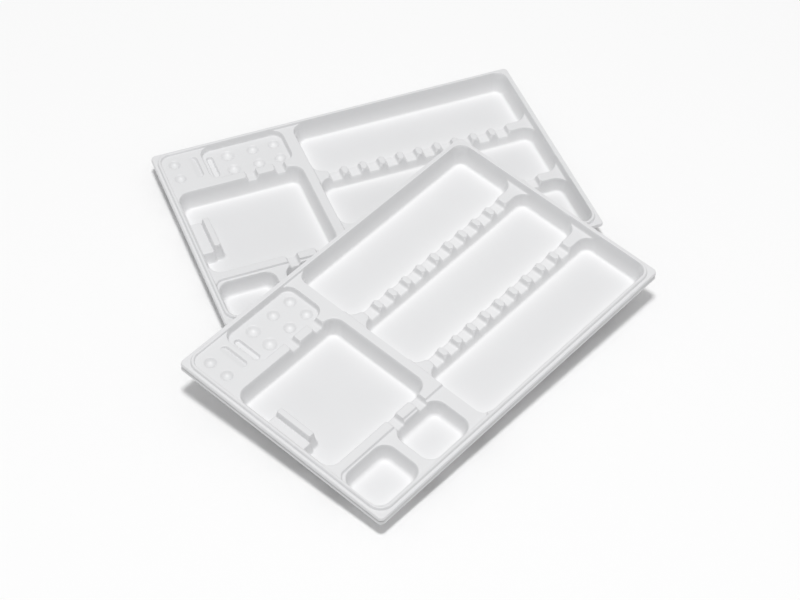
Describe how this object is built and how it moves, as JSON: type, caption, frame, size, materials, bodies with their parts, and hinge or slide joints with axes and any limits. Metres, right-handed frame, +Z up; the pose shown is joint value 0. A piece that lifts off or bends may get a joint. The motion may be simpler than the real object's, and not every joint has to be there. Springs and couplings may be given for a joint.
{
  "type": "disposable dental set-up trays",
  "caption": "Thin white thermoformed trays with compartments, toothed instrument rails and rests; a nested pair leans on the rim of a flat one.",
  "frame": {"origin": "centre of the flat tray, on the surface it rests on", "axes": "+X along the flat tray's length towards the toothed compartments, +Y towards its shelf side, +Z up"},
  "size_m": [0.334, 0.3799, 0.0449],
  "materials": {
    "back_tray_sheet": "satin white polystyrene sheet",
    "front_lower_tray_sheet": "satin white polystyrene sheet",
    "front_upper_tray_sheet": "satin white polystyrene sheet"
  },
  "bodies": {
    "back_tray": {"back_tray": "back_tray_sheet"},
    "front_lower_tray": {"front_lower_tray": "front_lower_tray_sheet"},
    "front_upper_tray": {"front_upper_tray": "front_upper_tray_sheet"}
  },
  "joints": [
    {"name": "front_lower_tray_lift", "type": "slide", "parent": "back_tray", "child": "front_lower_tray", "axis": [0, 0, 1], "range_m": [0, 0.06]},
    {"name": "front_upper_tray_lift", "type": "slide", "parent": "front_lower_tray", "child": "front_upper_tray", "axis": [0, -0.0918, 0.9958], "range_m": [0, 0.06]}
  ]
}
